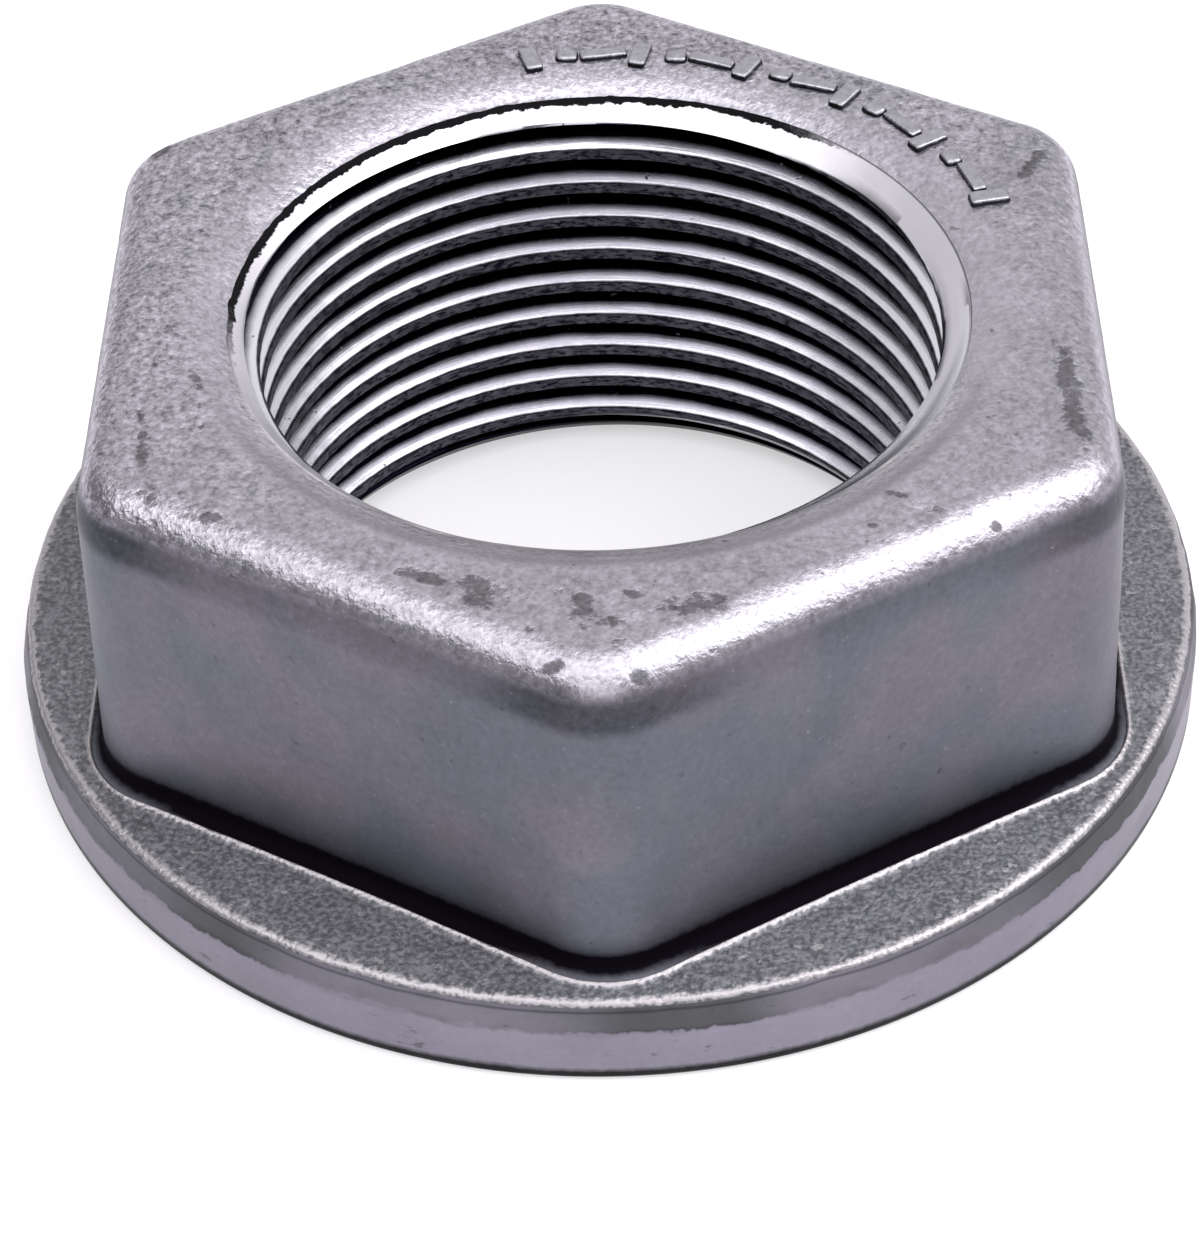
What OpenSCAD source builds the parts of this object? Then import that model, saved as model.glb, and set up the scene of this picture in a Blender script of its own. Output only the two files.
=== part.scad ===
// Hexagon nut with an integral flange: drop-forged in one piece, turned in the bore and tapped with a
// metric fine thread. Millimetres, +Z up. The origin is the centre of the bearing face, on the thread's axis.

/* [Thread] */
// Nominal (major) diameter of the thread
thread_d = 33; // [26:0.5:36]
// Pitch of the thread
thread_pitch = 2; // [1.5:0.25:3]
// Radial clearance at the thread's roots, beyond the nominal diameter
root_clearance = 0.08; // [0:0.02:0.2]
// Where the groove's middle crosses the bearing face, in degrees from +X
thread_start = 305; // [0:5:355]
// How far the top countersink opens beyond the thread, on the radius
top_sink_width = 0.2; // [0:0.05:1.5]
// Included angle of the top countersink
top_sink_angle = 110; // [60:5:120]
// How far the bottom countersink opens beyond the thread, on the radius
bottom_sink_width = 0.1; // [0:0.05:1.5]
// Included angle of the bottom countersink
bottom_sink_angle = 70; // [50:5:120]

/* [Hexagon] */
// Width across flats where the hexagon leaves the flange
hex_af = 46; // [42:0.5:60]
// Height of the whole nut, without the raised marks
nut_height = 21; // [15:0.5:32]
// Draft of the hexagon's flats, in degrees from upright
hex_draft = 1.6; // [0.5:0.1:3]
// Radius of the hexagon's upright corners where it leaves the flange
corner_radius = 4.3; // [3.5:0.1:6]
// Radius that rounds the top edge all the way round
top_edge_radius = 2.3; // [0.5:0.1:2.7]
// Size of the flare that fills the angle between the hexagon and the flange
root_flare = 0.6; // [0.3:0.1:1.5]

/* [Dish] */
// Depth of the forged dish round the bore, from the top face to the countersink
dish_depth = 0.7; // [0.3:0.1:1.2]
// Radius of the dish's section
dish_radius = 4.8; // [2:0.2:6]

/* [Flange] */
// How far the flange reaches beyond the hexagon's corners
flange_overhang = 2.1; // [1.5:0.1:8]
// Height of the flange at its rim
flange_height = 4.4; // [3:0.1:8]
// Height of the drafted band between the parting line and the rim's top
upper_band = 1.5; // [0.7:0.1:2.5]
// Draft of that band, in degrees from upright
rim_draft = 12; // [1:1:20]
// Radius of the rim's top edge
rim_edge_radius = 0.35; // [0.1:0.05:0.5]
// Rise of the flange's top towards the hexagon, in degrees
flange_slope = 4; // [1:0.5:12]
// Bevel round the bearing face
bearing_bevel = 0.3; // [0.1:0.1:1]

/* [Raised marks] */
// Height of the raised bars, dots and dashes on the top face
mark_height = 0.25; // [0.1:0.05:0.5]
// Length of a bar or dash; a dot is half as wide
mark_size = 1.3; // [0.6:0.1:1.8]
// Width of a bar or dash
mark_width = 0.5; // [0.3:0.05:0.8]
// Number of marks along the arc
mark_count = 16; // [0:1:18]
// Where the first mark stands, in degrees from +X
mark_start = 100; // [0:1:359]
// Step from one mark to the next, in degrees
mark_step = 5.3; // [5:0.1:12]

/* [Hidden] */
$fn = 96;

// Standard 60 degree profile: height of its fundamental triangle, crests and roots
triangle_height = thread_pitch * sqrt(3) / 2;
minor_radius = thread_d / 2 - triangle_height * 5 / 8;
root_radius = thread_d / 2 + root_clearance;
root_flat = thread_pitch / 8 - 2 * root_clearance * tan(30);
// The groove starts this far inside the bore, so that it cuts the crests cleanly
groove_lead = 0.25;
groove_mouth = root_flat + 2 * (root_radius - minor_radius + groove_lead) * tan(30);
// Straight steps that make up one turn of the groove
steps_per_turn = 36;

// Countersinks: their largest radii, and the heights where they meet the thread's crests
top_sink_radius = thread_d / 2 + top_sink_width;
bottom_sink_radius = thread_d / 2 + bottom_sink_width;
crest_top_z = nut_height - dish_depth - (top_sink_radius - minor_radius) / tan(top_sink_angle / 2);
crest_bottom_z = (bottom_sink_radius - minor_radius) / tan(bottom_sink_angle / 2);

// Dish: where its arc runs out into the flat top face
dish_outer_radius = top_sink_radius + sqrt(2 * dish_radius * dish_depth - dish_depth * dish_depth);

// Flange: its radius follows the hexagon's rounded corners
post_distance = (hex_af / 2 - corner_radius) / cos(30);
flange_radius = post_distance + corner_radius + flange_overhang;
parting_z = flange_height - upper_band;
rim_top_radius = flange_radius - upper_band * tan(rim_draft);
root_z = flange_height + (rim_top_radius - hex_af / 2) * tan(flange_slope);

// Corner posts of the hexagon: six upright cones, whose hull is the drafted hexagon
post_top_radius = corner_radius - (nut_height - root_z) * tan(hex_draft);
post_fn = 36;
// How far pieces of the solid run into each other, so that they are truly joined
overlap = 0.8;
// How far cutters run past the faces that they cut
past = 1;

// Points of an arc about c with radius r, from angle a0 to a1 in n steps
function arc(c, r, a0, a1, n) =
    [for (i = [0:n]) let (a = a0 + (a1 - a0) * i / n) c + r * [cos(a), sin(a)]];

// Six posts with the given section (radius, height), joined by their hull
module hex_of_posts(section) {
    hull()
        for (k = [0:5])
            rotate([0, 0, 60 * k + 30])
                translate([post_distance, 0, 0])
                    rotate_extrude($fn = post_fn)
                        polygon(section);
}

// The drafted hexagon with its rounded corners and top edge
module hex_body() {
    foot_z = flange_height - overlap;
    foot_radius = corner_radius + (root_z - foot_z) * tan(hex_draft);
    edge_centre = [post_top_radius - top_edge_radius, nut_height - top_edge_radius];
    hex_of_posts(concat(
        [[0, foot_z], [foot_radius, foot_z]],
        arc(edge_centre, top_edge_radius, hex_draft, 90, 6),
        [[0, nut_height]]));
}

// The flare between the hexagon and the flange
module hex_flare() {
    foot_z = flange_height - overlap;
    top_z = root_z + root_flare;
    hex_of_posts([
        [0, foot_z],
        [corner_radius + root_flare + root_z - foot_z, foot_z],
        [corner_radius - root_flare * tan(hex_draft), top_z],
        [0, top_z]]);
}

// The round flange: bearing bevel, trimmed band, parting line, drafted band, rounded edge, sloping top
module flange() {
    edge_centre = [rim_top_radius - rim_edge_radius, flange_height - rim_edge_radius];
    middle_radius = hex_af / 2 - overlap;
    middle_z = flange_height + (rim_top_radius - middle_radius) * tan(flange_slope);
    rotate_extrude()
        polygon(concat(
            [[0, 0], [flange_radius - bearing_bevel, 0]],
            [[flange_radius, bearing_bevel], [flange_radius, parting_z]],
            arc(edge_centre, rim_edge_radius, rim_draft, 90 - flange_slope, 4),
            [[middle_radius, middle_z], [0, middle_z]]));
}

// Everything turned out of the middle: bore, both countersinks and the dish
module bore_cut() {
    dish_centre = [dish_outer_radius, nut_height - dish_radius];
    dish_end = 180 - asin((dish_radius - dish_depth) / dish_radius);
    rotate_extrude()
        polygon(concat(
            [[0, -past], [bottom_sink_radius + past * tan(bottom_sink_angle / 2), -past]],
            [[minor_radius, crest_bottom_z], [minor_radius, crest_top_z]],
            arc(dish_centre, dish_radius, dish_end, 90, 6),
            [[dish_outer_radius, nut_height + past], [0, nut_height + past]]));
}

// The thread's groove: one right-hand helix that runs out past both faces
module thread_groove() {
    section = [
        [minor_radius - groove_lead, groove_mouth / 2],
        [root_radius, root_flat / 2],
        [root_radius, -root_flat / 2],
        [minor_radius - groove_lead, -groove_mouth / 2]];
    steps = ceil((nut_height / thread_pitch + 2) * steps_per_turn);
    points = [
        for (i = [0:steps], p = section)
            let (a = 360 * i / steps_per_turn)
            [p[0] * cos(a), p[0] * sin(a), p[1] + thread_pitch * (i / steps_per_turn - 1)]];
    sides = [
        for (i = [0:steps - 1], j = [0:3])
            let (a = 4 * i + j, b = 4 * i + (j + 1) % 4)
            each [[a, a + 4, b], [b, a + 4, b + 4]]];
    ends = [[0, 1, 2, 3], [4 * steps + 3, 4 * steps + 2, 4 * steps + 1, 4 * steps]];
    rotate([0, 0, thread_start])
        polyhedron(points, concat(sides, ends), convexity = 20);
}

// Raised bars, dots and dashes in turn, along an arc at the edge of the dish
module marks() {
    height = overlap + mark_height;
    for (i = [0:1:mark_count - 1])
        rotate([0, 0, mark_start - i * mark_step])
            translate([dish_outer_radius, 0, nut_height - overlap])
                if (i % 3 == 0)
                    translate([-mark_size / 2, -mark_width / 2, 0])
                        cube([mark_size, mark_width, height]);
                else if (i % 3 == 1)
                    cylinder(d = mark_size / 2, h = height);
                else
                    translate([-mark_width / 2, -mark_size / 2, 0])
                        cube([mark_width, mark_size, height]);
}

// The nut: forged, then turned, then tapped
module flange_nut() {
    color("silver") {
        difference() {
            union() {
                flange();
                hex_flare();
                hex_body();
            }
            bore_cut();
            thread_groove();
        }
        marks();
    }
}

flange_nut();
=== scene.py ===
"""A drop-forged hexagon flange nut: forged skin, turned countersinks and bearing face, tapped thread."""

from __future__ import annotations

import logging
import math
from dataclasses import dataclass, field
from enum import IntEnum
from typing import Any, Callable, Sequence

import bmesh
import bpy
import numpy as np
from mathutils import Matrix, Vector, noise

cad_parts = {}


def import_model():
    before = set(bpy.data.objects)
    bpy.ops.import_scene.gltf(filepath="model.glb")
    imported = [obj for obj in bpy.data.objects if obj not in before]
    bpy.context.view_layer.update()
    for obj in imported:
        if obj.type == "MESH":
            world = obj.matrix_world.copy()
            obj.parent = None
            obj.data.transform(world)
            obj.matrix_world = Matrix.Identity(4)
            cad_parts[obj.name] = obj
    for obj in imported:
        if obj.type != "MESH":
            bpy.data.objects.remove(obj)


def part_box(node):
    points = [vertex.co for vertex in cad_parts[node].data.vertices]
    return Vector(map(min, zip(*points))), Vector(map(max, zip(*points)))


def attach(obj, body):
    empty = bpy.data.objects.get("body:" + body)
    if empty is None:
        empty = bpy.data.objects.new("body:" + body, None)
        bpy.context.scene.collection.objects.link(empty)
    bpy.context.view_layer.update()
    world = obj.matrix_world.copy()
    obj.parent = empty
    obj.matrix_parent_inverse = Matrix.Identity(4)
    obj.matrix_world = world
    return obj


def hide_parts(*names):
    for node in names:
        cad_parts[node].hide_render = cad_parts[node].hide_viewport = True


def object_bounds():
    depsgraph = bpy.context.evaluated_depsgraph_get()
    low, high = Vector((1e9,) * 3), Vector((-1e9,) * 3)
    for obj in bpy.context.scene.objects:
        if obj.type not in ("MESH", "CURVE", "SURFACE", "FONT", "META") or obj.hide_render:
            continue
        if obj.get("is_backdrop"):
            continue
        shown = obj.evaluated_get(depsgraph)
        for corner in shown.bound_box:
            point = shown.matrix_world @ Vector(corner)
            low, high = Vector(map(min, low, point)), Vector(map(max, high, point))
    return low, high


LOG = logging.getLogger("flange_nut")

NODE = "flange_nut"
BODY = "root"
MM = 0.001
SIXTH = math.radians(60)  # one side of the hexagon, seen from the axis
MARK_HEIGHT = 0.25  # millimetres that the raised marks stand above the top

Triple = tuple[float, float, float]  # a colour, or a place
Span = tuple[float, float]  # where something is 0, and where it is 1
Numbers = float | np.ndarray  # one number for a whole ring, or one for each column
WELD = 2e-6  # metres: vertices closer than this are one
TINY = 1e-9  # keeps a division away from zero


class Skin(IntEnum):
    """The finishes of the nut's surface, in the order of its material slots."""

    FORGED = 0
    BLASTED = 1
    TRIMMED = 2
    TURNED = 3
    THREAD = 4
    MARKS = 5


# --------------------------------------------------------------------------------------------------
# Node graphs
# --------------------------------------------------------------------------------------------------


class Value:
    """A node's output that takes part in Python arithmetic, adding one Math node per operation."""

    def __init__(self, graph: "Graph", socket: bpy.types.NodeSocket) -> None:
        """Wrap an output socket.

        Args:
            graph: The graph that the socket belongs to.
            socket: The output socket.
        """
        self.graph = graph
        self.socket = socket

    def math(self, operation: str, *operands: "Value | float") -> "Value":
        """Apply a Math node, with this value as its first operand.

        Args:
            operation: The Math node's operation.
            operands: The other operands, as values or numbers.

        Returns:
            The node's result.
        """
        return self.graph.math(operation, self, *operands)

    def __add__(self, other: "Value | float") -> "Value":
        """Sum."""
        return self.math("ADD", other)

    __radd__ = __add__

    def __sub__(self, other: "Value | float") -> "Value":
        """Difference."""
        return self.math("SUBTRACT", other)

    def __rsub__(self, other: "Value | float") -> "Value":
        """Difference from a number."""
        return self.graph.math("SUBTRACT", other, self)

    def __mul__(self, other: "Value | float") -> "Value":
        """Product."""
        return self.math("MULTIPLY", other)

    __rmul__ = __mul__

    def __truediv__(self, other: "Value | float") -> "Value":
        """Quotient."""
        return self.math("DIVIDE", other)

    def least(self, other: "Value | float") -> "Value":
        """The smaller of two values."""
        return self.math("MINIMUM", other)

    def most(self, other: "Value | float") -> "Value":
        """The larger of two values."""
        return self.math("MAXIMUM", other)

    def ramp(self, start: float, end: float) -> "Value":
        """Rise smoothly from 0 at start to 1 at end."""
        return self.span("SMOOTHSTEP", start, end)

    def line(self, start: float, end: float) -> "Value":
        """Rise in a straight line from 0 at start to 1 at end."""
        return self.span("LINEAR", start, end)

    def span(self, shape: str, start: float, end: float) -> "Value":
        """Map a stretch of values onto 0 to 1.

        Args:
            shape: The Map Range node's interpolation.
            start: Where the result is 0; it may be larger than end, for a fall.
            end: Where the result is 1.

        Returns:
            The result, held at 0 and 1 outside the stretch.
        """
        node = self.graph.node(
            "ShaderNodeMapRange",
            {"interpolation_type": shape, "clamp": True},
            {"Value": self, "From Min": start, "From Max": end},
        )
        return self.graph.out(node, "Result")

    def near(self, centre: "Value | float", reach: float) -> "Value":
        """How near the value is to a centre: 1 there, 0 at a distance of reach."""
        return (1.0 - (self - centre).math("ABSOLUTE") / reach).most(0.0)


class Graph:
    """A node tree that is built by one method for any node."""

    def __init__(self, tree: bpy.types.NodeTree) -> None:
        """Wrap a node tree.

        Args:
            tree: The tree that nodes are added to.
        """
        self.tree = tree

    def node(
        self, kind: str, settings: dict[str, Any] | None = None, inputs: dict[Any, Any] | None = None
    ) -> bpy.types.Node:
        """Add a node: its settings first, then its sockets.

        Args:
            kind: The node's type name.
            settings: Properties of the node.
            inputs: Socket names or numbers, with what each is given: a number, a wrapped value or a socket.

        Returns:
            The new node.
        """
        made = self.tree.nodes.new(kind)
        for name, setting in (settings or {}).items():
            setattr(made, name, setting)
        for key, given in (inputs or {}).items():
            target = made.inputs[key]
            if isinstance(given, Value):
                self.tree.links.new(given.socket, target)
            elif isinstance(given, bpy.types.NodeSocket):
                self.tree.links.new(given, target)
            else:
                target.default_value = given
        return made

    def out(self, node: bpy.types.Node, key: Any = 0) -> Value:
        """An output of a node, wrapped for arithmetic."""
        return Value(self, node.outputs[key])

    def math(self, operation: str, *operands: Value | float) -> Value:
        """Add a Math node.

        Args:
            operation: Its operation.
            operands: Values or numbers for its sockets, in order.

        Returns:
            The result.
        """
        return self.out(self.node("ShaderNodeMath", {"operation": operation}, dict(enumerate(operands))))

    def vector(self, x: Value | float, y: Value | float, z: Value | float) -> Value:
        """Combine three values into a vector."""
        return self.out(self.node("ShaderNodeCombineXYZ", {}, {"X": x, "Y": y, "Z": z}))

    def parts(self, vector: Value) -> tuple[Value, Value, Value]:
        """Split a vector into its three values."""
        split = self.node("ShaderNodeSeparateXYZ", {}, {"Vector": vector})
        return self.out(split, "X"), self.out(split, "Y"), self.out(split, "Z")

    def from_axis(self, x: Value, y: Value) -> Value:
        """Distance of a place from the nut's axis."""
        return (x * x + y * y).math("SQRT")

    def attribute(self, name: str) -> Value:
        """A number that the mesh carries at each vertex."""
        return self.out(self.node("ShaderNodeAttribute", {"attribute_name": name}), "Fac")

    def scaled(self, vector: Value, factor: float) -> Value:
        """Multiply a vector by a number."""
        node = self.node("ShaderNodeVectorMath", {"operation": "SCALE"}, {"Vector": vector, "Scale": factor})
        return self.out(node, "Vector")

    def noise(self, at: Value, size: float, detail: float = 3.0, roughness: float = 0.55) -> Value:
        """Fractal noise between 0 and 1.

        Args:
            at: The point that is sampled.
            size: The width of its largest features, in the units of the point.
            detail: How many finer octaves it has.
            roughness: How strong the finer octaves are.

        Returns:
            The noise.
        """
        inputs = {"Vector": at, "Scale": 1.0 / size, "Detail": detail, "Roughness": roughness}
        return self.out(self.node("ShaderNodeTexNoise", {"noise_dimensions": "3D"}, inputs))

    def blend(self, factor: Value | float, first: Any, second: Any) -> Value:
        """Mix two colours.

        Args:
            factor: 0 for the first, 1 for the second.
            first: A colour or a wrapped colour.
            second: A colour or a wrapped colour.

        Returns:
            The mixed colour.
        """
        ends = [end if isinstance(end, Value) else rgba(end) for end in (first, second)]
        node = self.node("ShaderNodeMix", {"data_type": "RGBA"}, {0: factor, 6: ends[0], 7: ends[1]})
        return self.out(node, 2)

    def shaded(self, colour: Value, factor: Value) -> Value:
        """Multiply a colour by a value."""
        node = self.node(
            "ShaderNodeMix",
            {"data_type": "RGBA", "blend_type": "MULTIPLY", "clamp_result": False},
            {0: 1.0, 6: colour, 7: self.vector(factor, factor, factor)},
        )
        return self.out(node, 2)


def linked(name: str, data: bpy.types.ID) -> bpy.types.Object:
    """Make an object from its data and link it to the scene."""
    made = bpy.data.objects.new(name, data)
    bpy.context.collection.objects.link(made)
    return made


def rgba(colour: Sequence[float]) -> tuple[float, float, float, float]:
    """A colour with full alpha."""
    return (colour[0], colour[1], colour[2], 1.0)


# --------------------------------------------------------------------------------------------------
# Finishes
# --------------------------------------------------------------------------------------------------

Surface = tuple[Value, Value, Value, float]  # colour, roughness, relief, and the relief's full height


@dataclass(frozen=True)
class Metal:
    """What every finish of the nut shares: a node-based metal that is described by a few numbers."""

    name: str
    colour: Triple
    roughness: float
    metallic: float = 1.0

    def material(self) -> bpy.types.Material:
        """Build a new node-based material."""
        made = bpy.data.materials.new(self.name)
        made.use_nodes = True
        made.node_tree.nodes.clear()
        graph = Graph(made.node_tree)
        where = graph.out(graph.node("ShaderNodeTexCoord"), "Object")
        point = graph.scaled(where, 1.0 / MM)
        colour, rough, height, reach = self.surface(graph, point)
        bump = graph.node("ShaderNodeBump", {}, {"Strength": 1.0, "Distance": reach * MM, "Height": height})
        looks = {"Base Color": colour, "Roughness": rough, "Metallic": self.metallic}
        shader = graph.node("ShaderNodeBsdfPrincipled", {}, looks | {"Normal": bump.outputs["Normal"]})
        graph.node("ShaderNodeOutputMaterial", {}, {"Surface": shader.outputs["BSDF"]})
        made.diffuse_color = rgba(self.colour)
        return made

    def surface(self, graph: Graph, point: Value) -> Surface:
        """What varies over the surface.

        Args:
            graph: The material's graph.
            point: The place on the nut, in millimetres.

        Returns:
            Colour, roughness, relief between 0 and 1, and the relief's full height in millimetres.
        """
        raise NotImplementedError


@dataclass(frozen=True)
class Patch:
    """A place where scale broke away from the forging and left it dark."""

    x: float
    y: float
    length: float
    width: float
    turn: float


@dataclass(frozen=True)
class ForgedSkin(Metal):
    """Forged skin: pale and grainy on top, darker on the flats as painted shade, black in the angle of the
    flange as grime and painted shade.
    """

    shaded_side_colour: Triple = (0.148, 0.155, 0.187)
    shaded_side_tint: Triple = (0.182, 0.172, 0.203)
    top_tint: Triple = (0.46, 0.44, 0.5)
    patch_colour: Triple = (0.11, 0.105, 0.115)
    polish_and_highlight_colour: Triple = (0.8, 0.77, 0.82)
    shade_and_grime_colour: Triple = (0.008, 0.006, 0.01)
    grain: float = 0.24
    relief: float = 0.14
    top_rise: Span = (19.3, 20.2)
    dish_highlight_rise: Span = (19.6, 17.6)
    corner_shade_rise: Span = (23.2, 24.8)
    shade_band_rise: Span = (17.6, 18.5)
    shade_band_fall: Span = (20.1, 19.3)
    patch_rag: float = 4.6
    least_shade: float = 0.25
    patches: tuple[Patch, ...] = ()

    def patch_mask(self, graph: Graph, point: Value) -> Value:
        """Where the dark patches are.

        Args:
            graph: The material's graph.
            point: The place on the nut, in millimetres.

        Returns:
            1 inside a patch, 0 outside, with ragged borders.
        """
        x, y, _ = graph.parts(point)
        far_away = -1.5
        nearness: Value | float = far_away
        for patch in self.patches:
            turn = math.radians(patch.turn)
            dx, dy = x - patch.x, y - patch.y
            along = (dx * math.cos(turn) + dy * math.sin(turn)) / patch.length
            across = (dy * math.cos(turn) - dx * math.sin(turn)) / patch.width
            nearness = (1.0 - along * along - across * across).most(nearness)
        ragged = (graph.noise(point, 0.9, 5.0, 0.7) - 0.5) * self.patch_rag
        return (nearness + ragged).ramp(0.15, 0.95)

    def surface(self, graph: Graph, point: Value) -> Surface:
        """See Metal.surface."""
        x, y, z = graph.parts(point)
        top = z.ramp(*self.top_rise)
        mottle = graph.noise(point, 3.4, 4.0, 0.6)
        tint = graph.noise(point, 6.0, 2.0, 0.5)
        fine = graph.noise(point, self.grain, 2.0, 0.6)
        grit = graph.noise(point, self.grain * 1.7, 2.5, 0.65)
        radius = graph.from_axis(x, y)
        # The dish round the bore: calmer grain, and painted paler as a highlight.
        dish = radius.ramp(*self.dish_highlight_rise) * top
        far_left = (y - x * 0.6 + (mottle - 0.5) * 30.0).ramp(-16.0, 16.0)
        coarse = top * (far_left * 0.62 + 0.38) * (1.0 - dish * 0.5)
        # Painted shade: a dark band along the upper flats, just below the top edge's highlight, strongest at
        # the corners and on the left.
        band = radius.ramp(*self.corner_shade_rise) * 0.33 + x.ramp(8.0, -8.0) * 0.12 + 0.07
        band = band * z.ramp(*self.shade_band_rise) * z.ramp(*self.shade_band_fall)
        pits = graph.noise(point, 0.8, 2.0, 0.5).ramp(0.7, 0.76)
        patches = self.patch_mask(graph, point) * top
        # Grime and painted shade from the mesh: black in the fillet, darkening up the foot of the flats, a
        # line in the near dish.
        shade_and_grime = graph.attribute("shade_and_grime")
        shade_and_grime = (shade_and_grime * 1.2 + (grit - 0.5) * 0.5 * shade_and_grime.ramp(0.0, 0.3)).line(0.05, 1.0)
        # Rubbing and painted highlight from the mesh: a pale lip at the dish's near edge.
        polish_and_highlight = (graph.attribute("polish_and_highlight") + (fine - 0.5) * 1.2).line(0.25, 0.8)
        # Painted shade: the flats take a much darker colour than the top.
        sides = graph.blend(tint.ramp(0.35, 0.65), self.shaded_side_colour, self.shaded_side_tint)
        tops = graph.blend(tint.ramp(0.3, 0.7), self.colour, self.top_tint)
        colour = graph.blend(top, sides, tops)
        colour = graph.blend(patches * 0.8, colour, self.patch_colour)
        colour = graph.blend(pits * 0.6, colour, self.patch_colour)
        speckle = (grit - 0.5) * (coarse * 1.7 + 0.35) + (fine - 0.5) * (coarse * 1.7 + 0.25)
        # The shade factor holds random mottle, the painted highlight on the dish and the painted shade band.
        shade = 0.92 + dish * 0.14 - band + (mottle - 0.5) * 0.4
        colour = graph.shaded(colour, (shade + speckle).most(self.least_shade))
        colour = graph.blend(polish_and_highlight, colour, self.polish_and_highlight_colour)
        colour = graph.blend(shade_and_grime, colour, self.shade_and_grime_colour)
        rough = self.roughness + (1.0 - top) * 0.1 + (mottle - 0.5) * 0.12 + patches * 0.2 + shade_and_grime * 0.3
        relief = (fine * 0.4 + grit * 0.6) * (0.12 + coarse * 0.88)
        relief = relief - patches * 0.15 - pits * 0.1 + mottle * 0.12
        return colour, rough, relief, self.relief


@dataclass(frozen=True)
class BlastedSkin(Metal):
    """Coarsely blasted forged steel, as on the top of the flange."""

    pale_colour: Triple = (0.27, 0.265, 0.295)
    polish_and_highlight_colour: Triple = (0.43, 0.405, 0.43)
    grain: float = 0.24
    relief: float = 0.06

    def surface(self, graph: Graph, point: Value) -> Surface:
        """See Metal.surface."""
        grain = graph.noise(point, self.grain, 1.5, 0.5)
        broad = graph.noise(point, 4.0, 3.0, 0.5)
        specks = graph.noise(point, 0.42, 2.0, 0.5).ramp(0.64, 0.7)
        # Rubbing and painted highlight from the mesh: the rim's edge and the bead round the hexagon's foot.
        polish_and_highlight = (graph.attribute("polish_and_highlight") + (grain - 0.5) * 1.3).line(0.3, 0.75)
        colour = graph.blend(grain.line(0.36, 0.66), self.colour, self.pale_colour)
        colour = graph.blend(specks * 0.7, colour, self.polish_and_highlight_colour)
        colour = graph.shaded(colour, 0.7 + broad * 0.5)
        colour = graph.blend(polish_and_highlight, colour, self.polish_and_highlight_colour)
        return colour, self.roughness - polish_and_highlight * 0.2 + (broad - 0.5) * 0.1, grain, self.relief


@dataclass(frozen=True)
class TrimmedBand(Metal):
    """The rim: a smooth trimmed band below, a darker forged one above a ragged parting line."""

    upper_colour: Triple = (0.11, 0.112, 0.117)
    scuff_colour: Triple = (0.03, 0.03, 0.03)
    foot_shade_colour: Triple = (0.02, 0.02, 0.02)
    foot_shade_rise: Span = (0.75, 0.45)
    parting_z: float = 2.9
    upper_z: float = 3.95
    line_reach: float = 0.12
    relief: float = 0.02

    def surface(self, graph: Graph, point: Value) -> Surface:
        """See Metal.surface."""
        x, y, z = graph.parts(point)
        around = graph.vector(x, y, z * 0.2)
        wander = graph.noise(around, 1.6, 4.0, 0.65) - 0.5
        shown = graph.noise(around, 14.0, 1.0, 0.5).ramp(0.38, 0.6)
        parting = z - wander * 1.1 - self.parting_z
        upper = parting.ramp(-0.08, 0.12) * (0.35 + shown * 0.65)
        line = parting.near(0.0, self.line_reach) * shown
        line = line.most(z.near(self.upper_z, self.line_reach) * 0.8)
        streaks = graph.noise(graph.vector(x, y, z * 7.0), 2.5, 4.0, 0.6)
        scuffs = graph.noise(graph.vector(x, y, z * 3.0), 1.5, 5.0, 0.7).ramp(0.62, 0.72)
        mottle = graph.noise(point, 5.0, 3.0, 0.5)
        fine = graph.noise(point, 0.4, 3.0, 0.6)
        colour = graph.blend(upper, self.colour, self.upper_colour)
        colour = graph.blend((scuffs * 0.6).most(line * 0.8), colour, self.scuff_colour)
        colour = graph.shaded(colour, 0.66 + streaks * 0.14 + mottle * 0.3 + fine * 0.2)
        # Painted shade: the rim darkens to black at its foot, where it meets the table.
        foot = (z + (fine - 0.5) * 0.15).line(*self.foot_shade_rise)
        colour = graph.blend(foot, colour, self.foot_shade_colour)
        rough = self.roughness + (streaks - 0.5) * 0.15 + upper * 0.15
        return colour, rough, streaks * 0.5 + fine * (0.2 + upper * 0.6) - scuffs * 0.6, self.relief


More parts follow.
